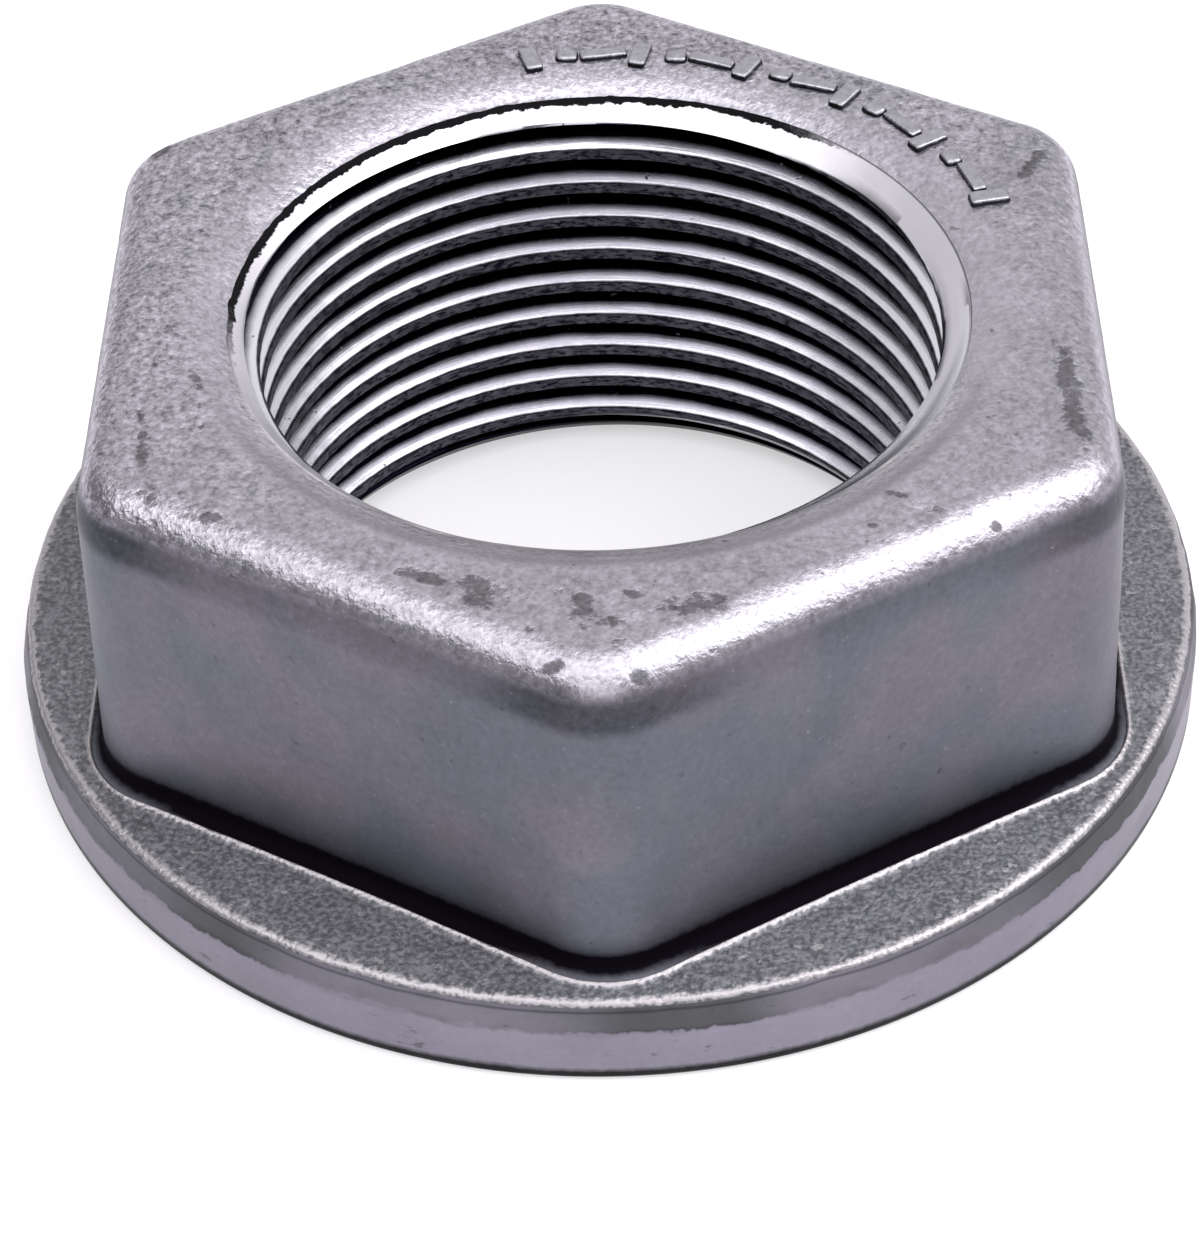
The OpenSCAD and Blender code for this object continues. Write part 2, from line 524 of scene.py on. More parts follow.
@dataclass(frozen=True)
class TurnedFace(Metal):
    """A turned face with fine rings, torn and black where the countersink's tool broke through the skin,
    that black partly painted shade, and painted shade on the countersink's far rim and at the bore's foot.
    """

    torn_and_shade_colour: Triple = (0.012, 0.012, 0.014)
    torn_radius: float = 16.4
    torn_side: float = math.radians(118)
    torn_rise: Span = (0.2, 0.5)
    rim_rise: Span = (16.6, 16.68)
    foot_radius: float = 16.62
    foot_shade_rise: Span = (1.9, 1.2)
    least_z: float = 15.0
    hollow_tone: float = 0.85
    ring: float = 0.12
    relief: float = 0.02

    def surface(self, graph: Graph, point: Value) -> Surface:
        """See Metal.surface."""
        x, y, z = graph.parts(point)
        radius = graph.from_axis(x, y)
        rings = graph.noise(graph.vector(radius - z * 0.3, z * 0.2, x * 0.02), self.ring, 3.0, 0.7)
        mottle = graph.noise(point, 2.0, 4.0, 0.6)
        chips = graph.noise(point, 0.5, 5.0, 0.7) - 0.5
        # The torn edge lies on the far side, painted black: partly the torn skin's own dark, partly painted
        # shade.
        towards = (x * math.cos(self.torn_side) + y * math.sin(self.torn_side)) / radius
        side = (towards + chips * 0.3).ramp(*self.torn_rise)
        ragged = chips * 0.35 + (mottle - 0.5) * 0.45
        edge = (radius + ragged - (1.0 - side) * 0.25 - self.torn_radius).ramp(-0.03, 0.03)
        upper = z.math("GREATER_THAN", self.least_z)
        torn = edge * side * upper
        tone = (0.84 + mottle * 0.2 + rings * 0.06).line(0.8, 1.05)
        colour = graph.blend(tone, [v * self.hollow_tone for v in self.colour], self.colour)
        # Painted shade: a black line along the top countersink's rim over the far half.
        far_rim_shade = radius.ramp(*self.rim_rise) * y.ramp(-9.0, 0.0) * 0.85
        torn = torn.most(far_rim_shade * upper)
        # Painted shade: the bottom countersink turns black near the bore's foot.
        low = z.line(*self.foot_shade_rise) * radius.math("LESS_THAN", self.foot_radius)
        colour = graph.blend(torn.most(low * 0.9), colour, self.torn_and_shade_colour)
        rough = self.roughness + (rings - 0.5) * 0.15 + (mottle - 0.5) * 0.15 + torn * 0.3
        return colour, rough, rings * 0.12 + chips * torn, self.relief


@dataclass(frozen=True)
class TappedThread(Metal):
    """Tapped flanks that are bright at their edges, with roots painted black as shade and dull torn crests.
    """

    crest_radius: float = 15.4175
    crest_colour: Triple = (0.21, 0.21, 0.25)
    mouth_rise: Span = (20.2, 19.5)
    sink_radius: float = 16.6
    sink_z: float = 20.23
    sink_slope: float = 1.428
    sink_colour: Triple = (0.765, 0.737, 0.802)
    foot_shade_rise: Span = (1.8, 1.0)
    shade_and_black_colour: Triple = (0.006, 0.005, 0.012)
    relief: float = 0.05

    def surface(self, graph: Graph, point: Value) -> Surface:
        """See Metal.surface."""
        x, y, z = graph.parts(point)
        depth = graph.from_axis(x, y) - self.crest_radius
        torn = graph.noise(graph.vector(x, y, z * 3.5), 0.55, 4.0, 0.7)
        drawn = graph.noise(graph.vector(depth * 5.0, z * 5.0, x * 0.15), 0.5, 3.0, 0.6)
        patchy = graph.noise(point, 2.4, 4.0, 0.6)
        nicks = graph.noise(point, 0.7, 3.0, 0.6).ramp(0.7, 0.75)
        # Painted shade: black deep in the roots, fading towards the mouth and added near the bore's foot.
        root = (depth + (patchy - 0.5) * 0.25).line(0.34, 0.72)
        root = root * z.line(*self.mouth_rise)
        root = root.most(z.line(*self.foot_shade_rise) * 0.9)
        crest = (depth + (torn - 0.5) * 0.1).ramp(0.07, 0.02)
        edge = (depth + (torn - 0.5) * 0.08).near(0.06, 0.09)
        gap = depth + self.crest_radius - self.sink_radius + (self.sink_z - z) * self.sink_slope
        sink = gap.line(0.09, 0.02)
        dull = graph.blend(torn.ramp(0.4, 0.58), self.shade_and_black_colour, self.crest_colour)
        colour = graph.blend(root, self.colour, self.shade_and_black_colour)
        colour = graph.shaded(colour, 0.82 + drawn * 0.34)
        colour = graph.blend(crest.most(nicks * 0.9), colour, dull)
        colour = graph.blend((edge * 1.4).least(0.92), colour, self.shade_and_black_colour)
        colour = graph.blend(sink, colour, self.sink_colour)
        rough = self.roughness + crest * 0.3 + nicks * 0.2 + (drawn - 0.5) * 0.1 + sink * 0.14
        relief = (torn * crest * 0.8 + drawn * 0.15 - nicks * 0.5) * (1.0 - sink)
        return colour, rough, relief, self.relief


@dataclass(frozen=True)
class MarkSkin(Metal):
    """Raised marks: bright on top from rubbing, with painted shade dark round their feet."""

    foot_shade_colour: Triple = (0.03, 0.03, 0.035)
    crown_rise: Span = (21.08, 21.22)
    relief: float = 0.05

    def surface(self, graph: Graph, point: Value) -> Surface:
        """See Metal.surface."""
        _, _, z = graph.parts(point)
        fine = graph.noise(point, 0.4, 3.0, 0.6)
        # Painted shade: the marks darken towards their feet.
        crown = (z + (fine - 0.5) * 0.16).ramp(*self.crown_rise)
        colour = graph.blend(crown, self.foot_shade_colour, self.colour)
        return graph.shaded(colour, 0.6 + fine * 0.8), self.roughness - crown * 0.1, fine, self.relief


PATCHES = (
    Patch(-4.9, -19.8, 1.6, 1.1, -12.0),
    Patch(-7.2, -18.8, 1.7, 0.5, -22.0),
    Patch(-0.6, -21.2, 0.7, 1.25, 12.0),
    Patch(0.3, -21.9, 0.8, 0.6, 10.0),
    Patch(0.8, -23.1, 0.5, 0.3, 15.0),
    Patch(1.7, -24.4, 0.6, 0.3, 20.0),
    Patch(-1.8, -24.0, 0.6, 0.32, -10.0),
    Patch(-2.9, -22.1, 0.4, 0.3, -35.0),
    Patch(-1.7, -19.9, 0.35, 0.3, 40.0),
    Patch(1.5, -20.2, 0.5, 0.3, -30.0),
    Patch(4.1, -20.8, 1.7, 0.75, 4.0),
    Patch(4.6, -23.8, 0.3, 0.25, 0.0),
    Patch(14.2, -15.2, 0.45, 0.35, -20.0),
    Patch(16.6, -15.7, 0.3, 0.25, 0.0),
    Patch(12.6, -14.2, 0.6, 0.3, -15.0),
    Patch(11.4, -16.2, 0.3, 0.2, 0.0),
    Patch(20.4, -7.5, 4.2, 0.75, -87.0),
    Patch(20.9, -13.8, 0.9, 0.35, 10.0),
    Patch(-19.6, -10.0, 2.7, 0.3, -84.0),
    Patch(-17.7, -5.4, 0.95, 0.3, -65.0),
    Patch(-16.5, -14.7, 1.2, 0.4, -25.0),
    Patch(-18.9, -13.3, 0.9, 0.45, -30.0),
    Patch(20.4, 9.8, 1.8, 0.5, 60.0),
    Patch(-20.7, 12.4, 1.6, 0.7, 50.0),
)

FINISHES: dict[Skin, Metal] = {
    Skin.FORGED: ForgedSkin("forged_skin", (0.5, 0.465, 0.535), 0.36, patches=PATCHES),
    Skin.BLASTED: BlastedSkin("blasted_flange", (0.12, 0.124, 0.138), 0.55, 0.65),
    Skin.TRIMMED: TrimmedBand("trimmed_rim", (0.255, 0.24, 0.29), 0.45),
    Skin.TURNED: TurnedFace("turned_face", (0.82, 0.79, 0.86), 0.4),
    Skin.THREAD: TappedThread("tapped_thread", (0.9, 0.882, 0.96), 0.26),
    Skin.MARKS: MarkSkin("raised_marks", (0.47, 0.453, 0.5), 0.42),
}


# --------------------------------------------------------------------------------------------------
# Shapes
# --------------------------------------------------------------------------------------------------


@dataclass
class Columns:
    """The angles that every ring of the nut's mesh shares, closer together at the hexagon's corners."""

    count: int = 432
    crowding: float = 0.35
    angles: np.ndarray = field(init=False)

    def __post_init__(self) -> None:
        """Work the angles out."""
        even = np.arange(self.count) * (2 * math.pi / self.count)
        self.angles = even + self.crowding / 6 * np.sin(6 * even)


@dataclass
class NutSizes:
    """The nut's sizes in millimetres, from the CAD node's box and the numbers given here."""

    flange_radius: float
    top_z: float
    across_flats: float = 46.0
    corner_radius: float = 4.3
    draft: float = math.radians(1.6)
    edge_radius: float = 2.3
    root_fillet: float = 0.6
    flange_z: float = 4.4
    band_height: float = 1.5
    rim_draft: float = math.radians(12)
    rim_edge: float = 0.35
    flange_slope: float = math.radians(4)
    bevel: float = 0.3
    dish_radius: float = 4.8
    dish_depth: float = 0.7
    thread_radius: float = 16.5
    pitch: float = 2.0
    thread_start: float = math.radians(305)
    root_clearance: float = 0.08
    top_sink_radius: float = 16.7
    bottom_sink_radius: float = 16.6
    top_sink_half_angle: float = math.radians(55)
    bottom_sink_half_angle: float = math.radians(35)
    burr_depth: float = 0.07

    @property
    def crest_radius(self) -> float:
        """Minor radius of the thread."""
        return self.thread_radius - self.pitch * math.sqrt(3) / 2 * 5 / 8

    @property
    def root_radius(self) -> float:
        """Radius at the thread's roots."""
        return self.thread_radius + self.root_clearance

    @property
    def top_corner(self) -> float:
        """Corner radius of the drafted hexagon at the top's height."""
        return self.corner_at(self.top_z)

    @property
    def post_apothem(self) -> float:
        """Distance from the axis to the hexagon that the corners' centres stand on."""
        return self.across_flats / 2 - self.corner_radius

    @property
    def rim_top_radius(self) -> float:
        """Radius where the drafted rim would meet the flange's top."""
        return self.flange_radius - self.band_height * math.tan(self.rim_draft)

    @property
    def root_z(self) -> float:
        """Height where the flange's top meets the hexagon's flats."""
        return self.flange_top(self.across_flats / 2)

    @property
    def dish_outer(self) -> float:
        """Radius where the dish runs out into the top face."""
        return self.top_sink_radius + math.sqrt(2 * self.dish_radius * self.dish_depth - self.dish_depth**2)

    @property
    def sink_z(self) -> float:
        """Height of the top countersink's outer edge."""
        return self.top_z - self.dish_depth

    @property
    def mouth_z(self) -> float:
        """Height in the top countersink down to which its edge may be torn."""
        return self.sink_z - self.burr_depth

    @property
    def mouth_radius(self) -> float:
        """Radius of the top countersink at that height."""
        return self.top_sink_radius - self.burr_depth * math.tan(self.top_sink_half_angle)

    def corner_at(self, z: float) -> float:
        """Corner radius of the drafted hexagon at a height."""
        return self.corner_radius - (z - self.root_z) * math.tan(self.draft)

    def flange_top(self, radius: Numbers) -> Numbers:
        """Height of the flange's sloping top at a radius."""
        return self.flange_z + (self.rim_top_radius - radius) * math.tan(self.flange_slope)


def fractal(points: np.ndarray, size: float, octaves: int, seed: float) -> np.ndarray:
    """Smooth noise at many points.

    Args:
        points: Places in millimetres, in the last axis.
        size: Width of the largest features.
        octaves: How many octaves are summed.
        seed: Shifts the pattern.

    Returns:
        Noise of about -1 to 1 at each point.
    """
    flat = points.reshape(-1, 3) / size + seed
    values = [noise.fractal(Vector(p), 0.8, 2.1, octaves) for p in flat.tolist()]
    return np.array(values).reshape(points.shape[:-1])


def smooth(values: np.ndarray, start: float, end: float) -> np.ndarray:
    """Rise smoothly from 0 at start to 1 at end."""
    share = np.clip((values - start) / (end - start), 0.0, 1.0)
    return share * share * (3 - 2 * share)


@dataclass
class Ring:
    """One ring of the shell's mesh: numbers for all its vertices, or one per column.

    Of the last two values, which run from 0 to 1, the first blackens the skin with grime and painted shade,
    and the second brightens it with rubbing and painted highlight.
    """

    radius: Numbers
    z: Numbers
    skin: Skin
    broad: float = 0.0
    fine: float = 0.0
    shade_and_grime: Numbers = 0.0
    polish_and_highlight: Numbers = 0.0


@dataclass
class Dent:
    """A knock or a pit: a smooth hollow in the skin."""

    angle: float
    radius: float
    z: float
    size: float
    depth: float
    stretch: float = 1.0


# The rim's rounded edge: turn in degrees from the rim to the top, and rubbing with painted highlight.
RIM_EDGE = ((20, 0.2), (40, 0.75), (60, 1.0), (78, 0.8))
# The bead round the hexagon's foot: reach beyond the fillet, rise above the flange, and rubbing with painted
# highlight.
BEAD = ((0.24, 0.05, 0.5), (0.16, 0.11, 1.0), (0.08, 0.13, 1.0), (0.02, 0.1, 0.6))
# The fillet: turn in degrees from the flange to the flat, then grime with painted shade at the corners and
# along the flats.
FILLET = ((4, 0.1, 0.8), (20, 0.35, 1.0), (38, 0.7, 1.0), (56, 1.0, 1.0), (74, 0.95, 1.0))


@dataclass
class ForgedShell:
    """Everything but the thread: bearing face, rim, flange, hexagon, top, dish and burr."""

    sizes: NutSizes
    columns: Columns
    rings: list[Ring] = field(default_factory=list)

    def corner_angle(self) -> np.ndarray:
        """Angle from the nearest corner of the hexagon, in every column."""
        return np.abs(self.columns.angles % SIXTH - SIXTH / 2)

    def flatness(self) -> np.ndarray:
        """0 on the hexagon's corners and 1 on its flats, in every column."""
        return smooth(self.corner_angle(), math.radians(2), math.radians(14))

    def outline(self, corner: float) -> np.ndarray:
        """Distance from the axis to a rounded hexagon, in every column.

        Args:
            corner: Its corner radius; its flats follow, because the corners' centres stay in place.

        Returns:
            One distance per column.
        """
        off = self.corner_angle()
        post = self.sizes.post_apothem / math.cos(SIXTH / 2)
        touch = math.atan2(corner / 2, post + corner * math.cos(SIXTH / 2))
        flat = (self.sizes.post_apothem + corner) / np.cos(SIXTH / 2 - off)
        under = np.maximum(corner**2 - (post * np.sin(off)) ** 2, 0.0)
        arc = post * np.cos(off) + np.sqrt(under)
        return np.where(off < touch, arc, flat)

    def bearing_face(self) -> list[Ring]:
        """The turned underside and its bevel."""
        s = self.sizes
        edge = s.flange_radius - s.bevel
        face = [Ring(radius, 0.0, Skin.TURNED) for radius in np.linspace(s.bottom_sink_radius, edge, 9)]
        bevel = [
            Ring(edge + s.bevel * math.sin(turn), s.bevel * (1 - math.cos(turn)), Skin.TRIMMED)
            for turn in np.radians([25, 50, 75])
        ]
        return face + bevel

    def rim(self) -> list[Ring]:
        """The trimmed band, the drafted band above it and the rounded edge."""
        s = self.sizes
        parting = s.flange_z - s.band_height
        edge = s.rim_top_radius - s.rim_edge
        edge_z = s.flange_z - s.rim_edge
        wander = 0.22 * self.round_noise(s.flange_radius, 2.5, 7.0)
        ledge = 0.05 * self.towards(215, -0.6, 0.2)
        lower_height = parting - 0.1 + wander - s.bevel
        lower = [
            Ring(s.flange_radius, s.bevel + lower_height * share, Skin.TRIMMED, 0.03, 0.02)
            for share in np.linspace(0.0, 1.0, 9)
        ]
        upper = []
        for share in np.linspace(0.0, 1.0, 6):
            radius = s.flange_radius - ledge - (edge_z - parting) * share * math.tan(s.rim_draft)
            z = parting + wander + (edge_z - parting - wander) * share
            upper.append(Ring(radius, z, Skin.TRIMMED, 0.05, 0.04))
        rounding = []
        for degrees, polish_and_highlight in RIM_EDGE:
            turn = math.radians(degrees)
            radius, z = edge + s.rim_edge * math.cos(turn), edge_z + s.rim_edge * math.sin(turn)
            rounding.append(Ring(radius, z, Skin.BLASTED, 0.03, 0.07, polish_and_highlight=polish_and_highlight))
        return lower + upper + rounding

    def flange(self) -> list[Ring]:
        """The flange's sloping top, the bead round the hexagon's foot and the fillet."""
        s = self.sizes
        start = s.rim_top_radius - s.rim_edge - 0.12
        end = self.outline(s.corner_radius + s.root_fillet + 0.32)
        top = []
        for share in np.linspace(0.0, 1.0, 14):
            radius = start + (end - start) * share
            polish_and_highlight = 0.35 if share == 0.0 else 0.0
            top.append(Ring(radius, s.flange_top(radius), Skin.BLASTED, 0.04, 0.06, polish_and_highlight=polish_and_highlight))
        bead = []
        for reach, rise, polish_and_highlight in BEAD:
            radius = self.outline(s.corner_radius + s.root_fillet + reach)
            bead.append(Ring(radius, s.flange_top(radius) + rise, Skin.BLASTED, 0.02, 0.03, polish_and_highlight=polish_and_highlight))
        fillet = []
        for degrees, low, high in FILLET:
            turn = math.radians(degrees)
            shade_and_grime = low + (high - low) * self.flatness()
            radius = self.outline(s.corner_radius + s.root_fillet * (1 - math.sin(turn)))
            lift = s.root_fillet * (1 - math.cos(turn))
            fillet.append(Ring(radius, s.flange_top(radius) + lift, Skin.FORGED, 0.02, 0.01, shade_and_grime=shade_and_grime))
        return top + bead + fillet

    def hexagon(self) -> list[Ring]:
        """The drafted flats and the rounded top edge."""
        s = self.sizes
        foot = s.root_z + s.root_fillet
        edge_z = s.top_z - s.edge_radius
        flat = self.flatness()
        core, reach = 0.2 + 0.14 * flat, 0.6 + 0.8 * flat
        flats = []
        for share in np.linspace(0.0, 1.0, 18) ** 1.7:
            z = foot + (edge_z - foot) * share
            # Painted shade with grime: the flats darken towards their foot, running up from the black
            # fillet.
            shade_and_grime = 0.65 * np.exp((foot - z) / core) + 0.4 * np.exp((foot - z) / reach)
            flats.append(Ring(self.outline(s.corner_at(z)), z, Skin.FORGED, 0.06, 0.012, shade_and_grime=shade_and_grime))
        rounding = []
        for turn in np.radians(np.linspace(8, 90, 14)):
            corner = s.top_corner - s.edge_radius * (1 - math.cos(turn))
            z = edge_z + s.edge_radius * math.sin(turn)
            rounding.append(Ring(self.outline(corner), z, Skin.FORGED, 0.05, 0.012))
        return flats + rounding

    def top(self) -> list[Ring]:
        """The flat top and the dish, down to the burr in the countersink's edge."""
        s = self.sizes
        outer = self.outline(s.top_corner - s.edge_radius)
        flat = [
            Ring(outer + (s.dish_outer - outer) * share, s.top_z, Skin.FORGED, 0.05, 0.02)
            for share in np.linspace(1 / 13, 1.0, 13)
        ]
        last = math.asin((s.dish_outer - s.top_sink_radius) / s.dish_radius)
        chips = self.edge_chips()
        # Painted highlight on the near side: a pale lip at the dish's inner edge, with painted shade just
        # outside it.
        lip = smooth(-np.sin(self.columns.angles), 0.1, 0.7)
        dish = []
        for share in np.linspace(0.1, 1.0, 10):
            turn = last * share
            radius = s.dish_outer - s.dish_radius * math.sin(turn)
            radius = radius + chips * share**6
            z = s.top_z - s.dish_radius * (1 - math.cos(turn))
            polish_and_highlight = 0.75 * lip * smooth(share, 0.62, 0.85)
            # Painted shade: a dark line across the dish on the near side, inside the pale lip.
            shade_and_grime = 0.3 * lip * math.exp(-(((share - 0.45) / 0.16) ** 2))
            skin = Skin.TURNED if share == 1.0 else Skin.FORGED
            dish.append(Ring(radius, z, skin, 0.03, 0.01, shade_and_grime, polish_and_highlight))
        return flat + dish

    def burr(self) -> list[Ring]:
        """The torn upper part of the countersink, down to the ring that the thread's mesh starts from."""
        s = self.sizes
        rough = self.round_noise(s.top_sink_radius, 0.5, 3.1) * 0.06 * self.torn()
        rings = []
        for share in (0.3, 0.65):
            radius = s.top_sink_radius + (s.mouth_radius - s.top_sink_radius) * share
            z = s.sink_z + (s.mouth_z - s.sink_z) * share
            rings.append(Ring(radius + rough * (1 - share), z + rough * 0.5, Skin.TURNED))
        rings.append(Ring(s.mouth_radius, s.mouth_z, Skin.TURNED))
        return rings

    def round_noise(self, radius: float, size: float, seed: float) -> np.ndarray:
        """Noise along a circle round the axis.

        Args:
            radius: The circle's radius.
            size: Width of the largest features.
            seed: Shifts the pattern.

        Returns:
            One value per column.
        """
        angles = self.columns.angles
        circle = np.stack([np.cos(angles), np.sin(angles), angles * 0], axis=-1) * radius
        return fractal(circle, size, 3, seed)

    def towards(self, side: float, start: float, end: float) -> np.ndarray:
        """How far each column lies towards one side of the nut.

        Args:
            side: The side's angle, in degrees.
            start: Cosine of the angle from that side at which the result leaves 0.
            end: Cosine at which it reaches 1.

        Returns:
            One value per column.
        """
        return smooth(np.cos(self.columns.angles - math.radians(side)), start, end)

    def torn(self) -> np.ndarray:
        """How torn the countersink's edge is: 1 over the far left half, 0 round the near right."""
        return self.towards(125, -0.05, 0.75)

    def edge_chips(self) -> np.ndarray:
        """How far the torn edge wanders outwards, one value per column."""
        edge = self.sizes.top_sink_radius
        chips = np.clip(self.round_noise(edge, 1.3, 9.4) - 0.3, 0, 1)
        return self.torn() * (0.02 + 0.05 * self.round_noise(edge, 0.45, 5.7) + 0.22 * chips)

    def dents(self) -> list[Dent]:
        """Knocks and pits of the forging, listed one by one."""
        top = self.sizes.top_z
        rim = self.sizes.flange_radius
        return [
            Dent(-70.0, rim, 3.7, 0.45, 0.12, 2.6),
            Dent(-58.0, rim, 3.6, 0.3, 0.12, 4.0),
            Dent(-52.5, rim, 3.9, 0.35, 0.12, 3.0),
            Dent(-64.0, rim, 2.6, 0.25, 0.08, 3.0),
            Dent(-106.0, rim, 2.9, 0.45, 0.1, 2.0),
            Dent(-112.0, rim, 3.6, 0.4, 0.1, 1.5),
            Dent(-100.0, rim, 0.9, 0.45, 0.08, 2.0),
            Dent(-30.0, rim, 1.6, 0.6, 0.1, 1.5),
            Dent(-109.5, 19.9, top, 0.9, 0.1, 2.0),
            Dent(-101.5, 20.7, top, 0.8, 0.12, 1.6),
            Dent(-90.0, 20.8, top, 0.7, 0.1),
            Dent(-86.0, 22.0, top, 0.6, 0.12),
            Dent(-78.0, 21.0, top, 0.8, 0.1, 1.5),
            Dent(-51.5, 18.9, top, 0.4, 0.14),
            Dent(-48.3, 20.4, top, 0.45, 0.16),
            Dent(-42.0, 22.7, top, 0.5, 0.14),
            Dent(-155.0, 22.0, top, 0.6, 0.1, 3.0),
            Dent(-24.0, 22.2, top, 0.7, 0.14, 4.0),
            Dent(27.0, 22.5, top, 0.6, 0.12, 2.0),
            Dent(149.0, 24.0, top, 0.8, 0.14, 1.5),
        ]

    def places(self) -> np.ndarray:
        """Every vertex before unevenness, as rings by columns by three."""
        ones = np.ones(self.columns.count)
        radius = np.stack([ring.radius * ones for ring in self.rings])
        z = np.stack([ring.z * ones for ring in self.rings])
        angles = self.columns.angles[None, :]
        return np.stack([radius * np.cos(angles), radius * np.sin(angles), z], axis=-1)

    def uneven(self, places: np.ndarray) -> np.ndarray:
        """Move the vertices along their normals, as forging, blasting and knocks do.

        Args:
            places: Every vertex, as rings by columns by three.

        Returns:
            The moved vertices, kept inside the nut's own box.
        """
        down = np.gradient(places, axis=0)
        around = np.roll(places, -1, axis=1) - np.roll(places, 1, axis=1)
        normal = np.cross(around, down)
        normal /= np.maximum(np.linalg.norm(normal, axis=-1, keepdims=True), TINY)
        weights = np.array([(ring.broad, ring.fine) for ring in self.rings])
        broad = fractal(places, 5.5, 3, 11.3) * weights[:, :1]
        fine = fractal(places, 1.0, 3, 27.9) * weights[:, 1:]
        depth = -np.abs(broad) * 0.5 + broad * 0.5 + fine * 0.7 - np.abs(fine) * 0.3
        for dent in self.dents():
            turn = math.radians(dent.angle)
            centre = np.array([dent.radius * math.cos(turn), dent.radius * math.sin(turn), dent.z])
            along = np.array([-math.sin(turn), math.cos(turn), 0.0])
            gap = places - centre
            tangential = gap @ along
            rest = np.sum(gap**2, axis=-1) - tangential**2
            depth -= dent.depth * np.exp(-(rest + (tangential / dent.stretch) ** 2) / dent.size**2)
        free = (weights.sum(axis=1) > 0)[:, None]
        moved = places + normal * (depth * free)[..., None]
        radius = np.linalg.norm(moved[..., :2], axis=-1)
        shrink = np.minimum(1.0, self.sizes.flange_radius / np.maximum(radius, TINY))
        moved[..., :2] *= shrink[..., None]
        moved[..., 2] = np.clip(moved[..., 2], 0.0, self.sizes.top_z)
        return moved

    def vertex_tones(self) -> dict[str, np.ndarray]:
        """The grime and painted shade, and the rubbing and painted highlight, of every vertex, by name."""
        ones = np.ones(self.columns.count)
        return {
            name: np.concatenate([getattr(ring, name) * ones for ring in self.rings])
            for name in ("shade_and_grime", "polish_and_highlight")
        }

    def build(self) -> tuple[np.ndarray, np.ndarray, np.ndarray]:
        """Make the shell.

        Returns:
            Vertices in metres, quads, and each quad's finish.
        """
        for section in (self.bearing_face, self.rim, self.flange, self.hexagon, self.top, self.burr):
            self.rings += section()
        places = self.uneven(self.places())
        rings, columns = places.shape[:2]
        ring, column = np.meshgrid(np.arange(rings - 1), np.arange(columns), indexing="ij")
        beside = (column + 1) % columns
        here, above = ring * columns, (ring + 1) * columns
        quads = np.stack([here + column, here + beside, above + beside, above + column], axis=-1)
        skins = np.repeat(np.array([int(r.skin) for r in self.rings[:-1]]), columns)
        return places.reshape(-1, 3) * MM, quads.reshape(-1, 4), skins


class RuleMesh:
    """A geometry node tree with named inputs, and the plain mesh that it makes."""

    def __init__(self, name: str) -> None:
        """Start an empty tree.

        Args:
            name: Name of the tree.
        """
        self.tree = bpy.data.node_groups.new(name, "GeometryNodeTree")
        self.graph = Graph(self.tree)
        self.tree.interface.new_socket("Geometry", in_out="OUTPUT", socket_type="NodeSocketGeometry")
        self.entry = self.tree.nodes.new("NodeGroupInput")
        self.given: dict[str, Any] = {}

    def input(self, name: str, value: Any, kind: str = "NodeSocketFloat") -> Value:
        """Add a named input.

        Args:
            name: The input's name.
            value: What the nut gives it.
            kind: Its socket type.

        Returns:
            The input's value in the tree.
        """
        socket = self.tree.interface.new_socket(name, in_out="INPUT", socket_type=kind)
        self.given[socket.identifier] = value
        return Value(self.graph, self.entry.outputs[name])

    def finish(self, geometry: Value, material: Value) -> None:
        """End the tree: realised, with its material.

        Args:
            geometry: What the tree made.
            material: The material's input.
        """
        real = self.graph.node("GeometryNodeRealizeInstances", {}, {"Geometry": geometry})
        inputs = {"Geometry": real.outputs[0], "Material": material}
        dressed = self.graph.node("GeometryNodeSetMaterial", {}, inputs)
        self.graph.node("NodeGroupOutput", {}, {0: dressed.outputs[0]})

    def mesh(self, name: str) -> bpy.types.Mesh:
        """Evaluate the tree.

        Args:
            name: Name of the mesh.

        Returns:
            A plain mesh.
        """
        host = linked(name + "_host", bpy.data.meshes.new(name + "_host"))
        modifier = host.modifiers.new("rule", "NODES")
        modifier.node_group = self.tree
        for identifier, value in self.given.items():
            modifier[identifier] = value
        graph = bpy.context.evaluated_depsgraph_get()
        made = bpy.data.meshes.new_from_object(host.evaluated_get(graph))
        made.name = name
        host.modifiers.remove(modifier)
        bpy.data.objects.remove(host)
        return made


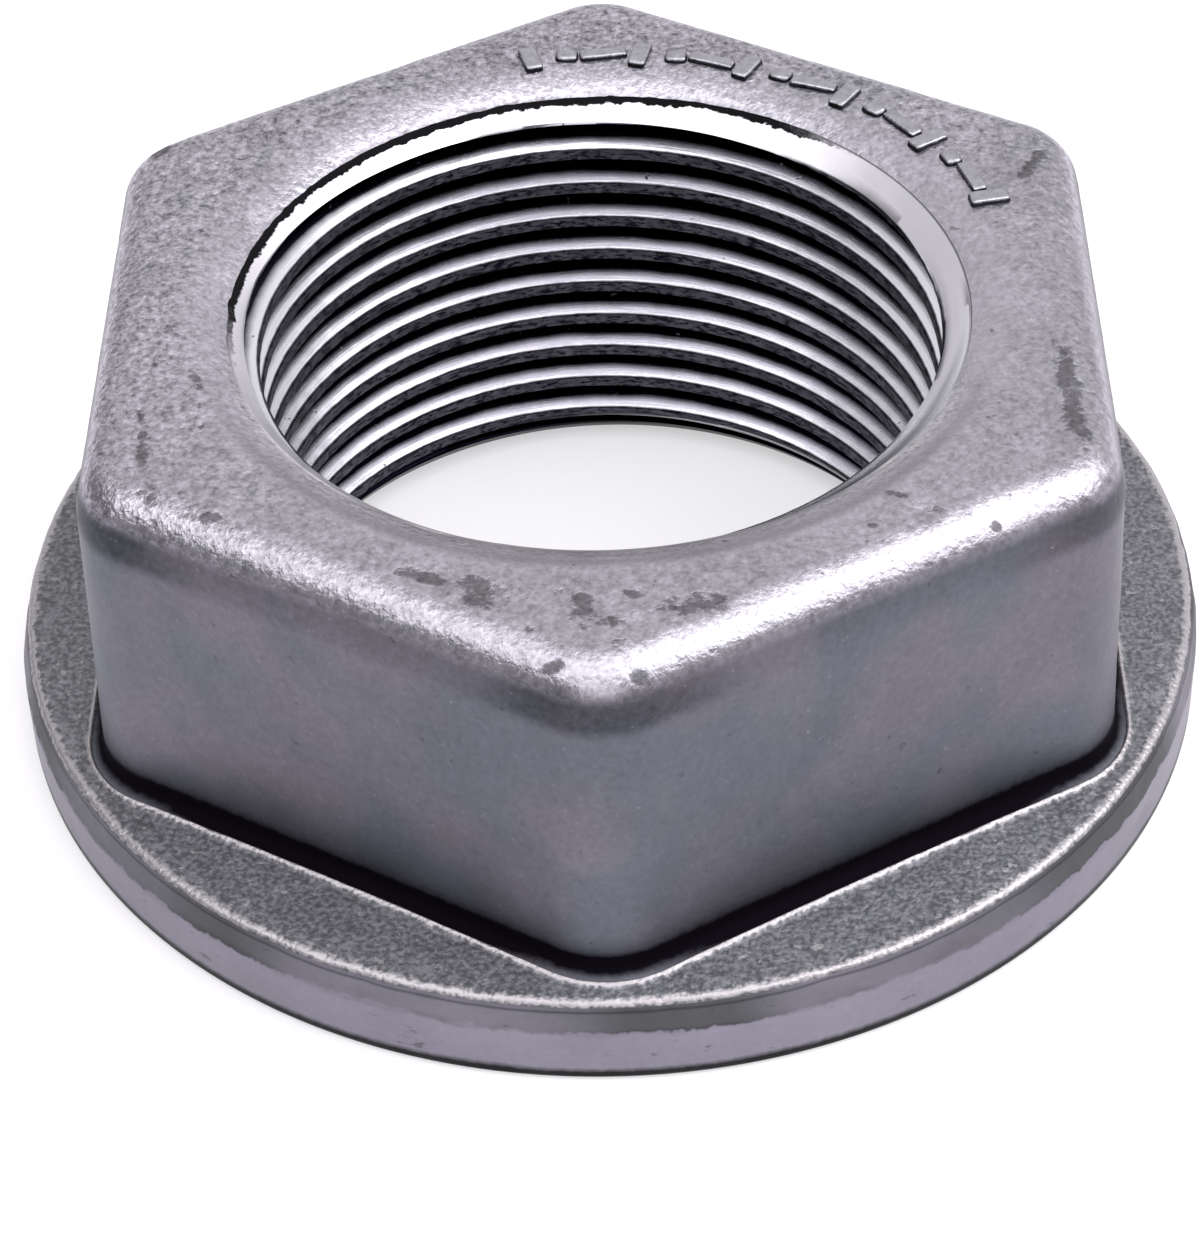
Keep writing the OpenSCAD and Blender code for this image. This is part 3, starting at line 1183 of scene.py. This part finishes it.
@dataclass
class Thread:
    """The tapped bore between the two countersinks' outer edges: one helix, swept by a rule."""

    sizes: NutSizes
    columns: Columns
    waver: float = 0.08
    waver_length: float = 0.8

    def tree(self, material: bpy.types.Material) -> RuleMesh:
        """Build the thread's tree.

        Args:
            material: The thread's finish.

        Returns:
            The tree with its inputs set.
        """
        s = self.sizes
        rule = RuleMesh("thread_rule")
        g = rule.graph
        count = rule.input("Columns per Turn", self.columns.count, "NodeSocketInt")
        turns = rule.input("Turns", math.ceil(s.mouth_z / s.pitch) + 2, "NodeSocketInt")
        pitch = rule.input("Pitch", s.pitch * MM)
        crest = rule.input("Crest Radius", s.crest_radius * MM)
        root = rule.input("Root Radius", s.root_radius * MM)
        mouth = rule.input("Mouth Height", s.mouth_z * MM)
        top_edge = rule.input("Mouth Radius", s.mouth_radius * MM)
        low_edge = rule.input("Bottom Countersink Radius", s.bottom_sink_radius * MM)
        top_slope = rule.input("Top Countersink Slope", math.tan(s.top_sink_half_angle))
        low_slope = rule.input("Bottom Countersink Slope", math.tan(s.bottom_sink_half_angle))
        crowding = rule.input("Corner Crowding", self.columns.crowding)
        waver = rule.input("Crest Waver", self.waver * MM)
        lead = rule.input("Start Angle", s.thread_start)
        finish = rule.input("Finish", material, "NodeSocketMaterial")

        # The section of one pitch has eleven strips: crest 2, flank 4, root 1, flank 4.
        strips = 11
        crest_share, flank_share, root_share = 0.25, 0.3125, 0.125
        root_middle = crest_share + flank_share + root_share / 2
        corners = {"Vertices X": count * turns + 1.0, "Vertices Y": strips + 1}
        grid = g.node("GeometryNodeMeshGrid", {}, corners)
        index = g.out(g.node("GeometryNodeInputIndex"))
        along = (index / (strips + 1.0)).math("FLOOR")
        strip = index - along * (strips + 1.0)
        turn = (along / count).math("FLOOR")
        even = (along - turn * count) / count * (2 * math.pi)
        angle = even + (even * 6.0).math("SINE") * crowding / 6.0
        down, up = strip.line(2.0, 6.0), strip.line(7.0, 11.0)
        share = strip.line(0.0, 2.0) * crest_share + down * flank_share
        share = share + strip.line(6.0, 7.0) * root_share + up * flank_share
        depth = down - up
        climb = (turn + (angle - lead) / (2 * math.pi) + share - root_middle) * pitch
        height = climb.most(0.0).least(mouth)
        across, ahead = angle.math("COSINE"), angle.math("SINE")
        spot = g.vector(across * crest, ahead * crest, climb)
        rough = g.noise(spot, self.waver_length * MM, 4.0, 0.65) - 0.5
        radius = crest + (root - crest) * depth + rough * waver * (1.0 - depth)
        top_cone = top_edge - (mouth - height) * top_slope
        low_cone = low_edge - height * low_slope
        radius = radius.most(top_cone).most(low_cone)
        place = g.vector(radius * across, radius * ahead, height)
        placed = g.node("GeometryNodeSetPosition", {}, {"Geometry": grid.outputs[0], "Position": place})
        welded = g.node("GeometryNodeMergeByDistance", {}, {"Geometry": placed.outputs[0], "Distance": WELD})
        rule.finish(g.out(welded), finish)
        return rule

    def build(self, material: bpy.types.Material) -> bpy.types.Mesh:
        """Make the thread's mesh, open at both countersinks' outer edges."""
        return self.tree(material).mesh("thread")


@dataclass
class RaisedMarks:
    """Raised bars, dots and dashes along an arc of the top face."""

    sizes: NutSizes
    height: float = MARK_HEIGHT
    count: int = 16
    first: float = math.radians(100)
    step: float = math.radians(5.3)
    length: float = 1.3
    width: float = 0.5
    tilt: float = math.radians(12)
    sink: float = 1.4
    swelling: tuple[float, float] = (1.45, 1.8)

    def tree(self, material: bpy.types.Material) -> RuleMesh:
        """Build the marks' tree.

        Args:
            material: The marks' finish.

        Returns:
            The tree with its inputs set.
        """
        s = self.sizes
        rule = RuleMesh("marks_rule")
        g = rule.graph
        count = rule.input("Count", self.count, "NodeSocketInt")
        first = rule.input("First Angle", self.first)
        step = rule.input("Step", self.step)
        ring = rule.input("Ring Radius", s.dish_outer * MM)
        seat = rule.input("Seat Height", s.top_z * MM)
        length = rule.input("Length", self.length * MM)
        width = rule.input("Width", self.width * MM)
        height = rule.input("Height", self.height * MM)
        tilt = rule.input("Tilt", self.tilt)
        finish = rule.input("Finish", material, "NodeSocketMaterial")

        # Each mark is the top of a rounded block that is sunk below the skin, so that its sides slope.
        # Rounding shrinks a block, so that it starts larger than the mark by its swelling.
        index = g.out(g.node("GeometryNodeInputIndex"))
        angle = first - index * step
        line = g.node("GeometryNodeMeshLine", {}, {"Count": count})
        across, ahead = angle.math("COSINE") * ring, angle.math("SINE") * ring
        place = g.vector(across, ahead, seat - height * self.sink)
        spots = g.node("GeometryNodeSetPosition", {}, {"Geometry": line.outputs[0], "Position": place})
        turns = {2: tilt * -1.0, 3: tilt, "Seed": 4}
        lean = g.out(g.node("FunctionNodeRandomValue", {"data_type": "FLOAT"}, turns), 1)
        joined = g.node("GeometryNodeJoinGeometry")
        long_swell, wide_swell = self.swelling
        sizes = ((length, width), (length * 0.5, length * 0.5), (width, length))
        for kind, (reach, breadth) in enumerate(sizes):
            size = g.vector(reach * long_swell, breadth * wide_swell, height * (self.sink + 1.0) * 2.0)
            block = g.node("GeometryNodeMeshCube", {}, {"Size": size})
            fine = g.node("GeometryNodeSubdivideMesh", {}, {"Mesh": block.outputs[0], "Level": 1})
            rounding = {"Mesh": fine.outputs[0], "Level": 3, "Edge Crease": 0.0 if kind == 1 else 0.3}
            round_block = g.node("GeometryNodeSubdivisionSurface", {}, rounding)
            chosen = index.math("MODULO", 3.0).math("COMPARE", float(kind), 0.1)
            standing = {
                "Points": spots.outputs[0],
                "Selection": chosen,
                "Instance": round_block.outputs[0],
                "Rotation": g.vector(0.0, 0.0, angle + lean),
            }
            copies = g.node("GeometryNodeInstanceOnPoints", {}, standing)
            g.tree.links.new(copies.outputs[0], joined.inputs[0])
        rule.finish(g.out(joined), finish)
        return rule

    def build(self, material: bpy.types.Material) -> bpy.types.Mesh:
        """Make the marks' mesh."""
        return self.tree(material).mesh("raised_marks")


@dataclass
class FlangeNut:
    """The nut: forged shell and thread welded into one closed skin, and the marks raised on it."""

    sizes: NutSizes
    sharp_angle: float = math.radians(38)
    cone_margin: float = 0.001

    def welded(self, shell: ForgedShell, thread: bpy.types.Mesh) -> bpy.types.Mesh:
        """Join the shell and the thread along their two shared rings.

        Args:
            shell: The forged shell.
            thread: The thread's mesh.

        Returns:
            One closed mesh with its faces outwards.
        """
        vertices, quads, skins = shell.build()
        bore = np.zeros(len(thread.vertices) * 3)
        thread.vertices.foreach_get("co", bore)
        faces = [[i + len(vertices) for i in face.vertices] for face in thread.polygons]
        mesh = bpy.data.meshes.new("nut_skin")
        places = np.concatenate([vertices, bore.reshape(-1, 3)])
        mesh.from_pydata(places.tolist(), [], quads.tolist() + faces)
        spots = [vertex.co for vertex in thread.vertices]
        bore_skins = [self.bore_skin([spots[i] for i in face.vertices]) for face in thread.polygons]
        mesh.polygons.foreach_set("material_index", np.concatenate([skins, bore_skins]).astype(np.int32))
        for name, values in shell.vertex_tones().items():
            padded = np.concatenate([values, np.zeros(len(thread.vertices))]).astype(np.float32)
            mesh.attributes.new(name, "FLOAT", "POINT").data.foreach_set("value", padded)
        work = bmesh.new()
        work.from_mesh(mesh)
        rim = list({v for e in work.edges if e.is_boundary for v in e.verts})
        bmesh.ops.remove_doubles(work, verts=rim, dist=WELD * 5)
        bmesh.ops.dissolve_degenerate(work, edges=work.edges[:], dist=WELD)
        bmesh.ops.recalc_face_normals(work, faces=work.faces[:])
        if work.calc_volume(signed=True) < 0:
            bmesh.ops.reverse_faces(work, faces=work.faces[:])
        open_edges = sum(not e.is_manifold for e in work.edges)
        LOG.info("nut skin: %d faces, %d open edges", len(work.faces), open_edges)
        for face in work.faces:
            face.smooth = True
        work.to_mesh(mesh)
        work.free()
        mesh.set_sharp_from_angle(angle=self.sharp_angle)
        return mesh

    def bore_skin(self, corners: Sequence[Vector]) -> int:
        """The finish of a face of the bore: turned on the countersinks, tapped elsewhere.

        Args:
            corners: The face's corners.

        Returns:
            The material slot.
        """
        s = self.sizes
        for corner in corners:
            radius, z = corner.xy.length / MM, corner.z / MM
            top_cone = s.mouth_radius - (s.mouth_z - z) * math.tan(s.top_sink_half_angle)
            low_cone = s.bottom_sink_radius - z * math.tan(s.bottom_sink_half_angle)
            if radius > max(top_cone, low_cone) + self.cone_margin:
                return int(Skin.THREAD)
        return int(Skin.TURNED)

    def build(self) -> list[bpy.types.Object]:
        """Make and dress the nut's pieces.

        Returns:
            The finished pieces.
        """
        columns = Columns()
        materials = {skin: finish.material() for skin, finish in FINISHES.items()}
        thread = Thread(self.sizes, columns).build(materials[Skin.THREAD])
        skin = self.welded(ForgedShell(self.sizes, columns), thread)
        for kind in (Skin.FORGED, Skin.BLASTED, Skin.TRIMMED, Skin.TURNED, Skin.THREAD):
            skin.materials.append(materials[kind])
        body = self.piece("nut_forging", skin)
        raised = RaisedMarks(self.sizes).build(materials[Skin.MARKS])
        marks = self.piece("raised_marks", raised)
        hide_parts(NODE)
        return [body, marks]

    def piece(self, name: str, mesh: bpy.types.Mesh) -> bpy.types.Object:
        """Put a mesh into the scene as a piece of the nut.

        Args:
            name: The piece's name.
            mesh: Its mesh, in place.

        Returns:
            The piece, riding on the nut's body.
        """
        made = linked(name, mesh)
        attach(made, BODY)
        LOG.info("%s: %d faces", name, len(mesh.polygons))
        return made


# --------------------------------------------------------------------------------------------------
# Studio
# --------------------------------------------------------------------------------------------------


def direction(azimuth: float, elevation: float) -> Vector:
    """The unit vector towards a place round the nut.

    Args:
        azimuth: Degrees from the front, growing to the right.
        elevation: Degrees above the table.

    Returns:
        The vector, from the nut outwards.
    """
    turn, rise = math.radians(azimuth), math.radians(elevation)
    return Vector((math.sin(turn) * math.cos(rise), -math.cos(turn) * math.cos(rise), math.sin(rise)))


@dataclass(frozen=True)
class Softbox:
    """A large soft light: where it hangs, how big it is and how bright its face is."""

    name: str
    azimuth: float
    elevation: float
    distance: float
    width: float
    height: float
    radiance: float

    def hang(self, aim: Vector) -> None:
        """Add the light.

        Args:
            aim: The point that it faces.
        """
        back = direction(self.azimuth, self.elevation)
        data = bpy.data.lights.new(self.name, "AREA")
        data.shape = "RECTANGLE"
        data.size, data.size_y = self.width, self.height
        data.energy = self.radiance * math.pi * self.width * self.height
        lamp = linked(self.name, data)
        lamp.location = aim + back * self.distance
        lamp.rotation_mode = "QUATERNION"
        lamp.rotation_quaternion = back.to_track_quat("Z", "Y")


@dataclass(frozen=True)
class Studio:
    """A pale floor, soft lights and the camera."""

    aim: Triple = (-0.12, -13.35, 13.53)
    azimuth: float = 1.41
    elevation: float = 42.04
    roll: float = -2.02
    distance: float = 162.3
    lens: float = 108.7
    sensor: float = 36.0
    nearest: float = 0.01
    floor_size: float = 4.0
    floor_drop: float = 0.02
    floor_colour: Triple = (0.6, 0.58, 0.62)
    floor_roughness: float = 0.8
    floor_glow: float = 0.45
    room: float = 0.12
    softboxes: tuple[Softbox, ...] = (
        Softbox("key", 5.0, 75.0, 0.5, 1.3, 0.48, 2.15),
        Softbox("front", 2.0, 27.0, 0.5, 0.42, 0.3, 1.5),
        Softbox("back", 165.0, 46.0, 0.65, 2.0, 1.1, 0.68),
        Softbox("right", 85.0, 40.0, 0.45, 0.45, 0.35, 1.8),
    )

    def floor(self) -> None:
        """Add the floor, a pale table that glows a little."""
        half = self.floor_size / 2
        low = -self.floor_drop * MM
        mesh = bpy.data.meshes.new("floor")
        corners = [(-half, -half, low), (half, -half, low), (half, half, low), (-half, half, low)]
        mesh.from_pydata(corners, [], [(0, 1, 2, 3)])
        made = bpy.data.materials.new("pale_floor")
        made.use_nodes = True
        shader = made.node_tree.nodes["Principled BSDF"]
        shader.inputs["Base Color"].default_value = rgba(self.floor_colour)
        shader.inputs["Roughness"].default_value = self.floor_roughness
        shader.inputs["Emission Color"].default_value = rgba([1.0] * 3)
        shader.inputs["Emission Strength"].default_value = self.floor_glow
        mesh.materials.append(made)
        linked("floor", mesh)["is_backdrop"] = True

    def world(self) -> None:
        """Fill the rest of the room with dim light."""
        world = bpy.data.worlds.new("room")
        world.use_nodes = True
        world.node_tree.nodes["Background"].inputs["Color"].default_value = rgba([self.room] * 3)
        bpy.context.scene.world = world

    def camera(self) -> None:
        """Add the camera, turned by its azimuth, elevation and roll."""
        turn, roll = math.radians(self.azimuth), math.radians(self.roll)
        back = direction(self.azimuth, self.elevation)
        right = Vector((math.cos(turn), math.sin(turn), 0.0))
        up = back.cross(right)
        x = right * math.cos(roll) + up * math.sin(roll)
        y = up * math.cos(roll) - right * math.sin(roll)
        data = bpy.data.cameras.new("camera")
        data.sensor_width = self.sensor
        data.lens = self.lens
        data.clip_start = self.nearest
        camera = linked("camera", data)
        place = Vector(self.aim) * MM + back * self.distance * MM
        camera.matrix_world = Matrix.Translation(place) @ Matrix((x, y, back)).transposed().to_4x4()
        bpy.context.scene.camera = camera

    def build(self) -> None:
        """Set the studio up."""
        self.floor()
        self.world()
        for box in self.softboxes:
            box.hang(Vector((0.0, 0.0, 0.01)))
        self.camera()
        bpy.context.scene.view_settings.view_transform = "Standard"


def corners(bounds: Callable[[], tuple[Vector, Vector]]) -> list[list[float]]:
    """A box as plain lists of numbers."""
    return [[float(v) for v in corner] for corner in bounds()]


def main() -> None:
    """Build the nut in its studio."""
    logging.basicConfig(level=logging.INFO, format="%(name)s: %(message)s")
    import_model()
    cad_box = corners(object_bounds)
    low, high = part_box(NODE)
    sizes = NutSizes(flange_radius=(high[0] - low[0]) / 2 / MM, top_z=high[2] / MM - MARK_HEIGHT)
    for made in FlangeNut(sizes).build():
        LOG.info("built %s", made.name)
    Studio().build()
    {"cad": cad_box, "visual": corners(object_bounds)}


if __name__ == "__main__":
    main()
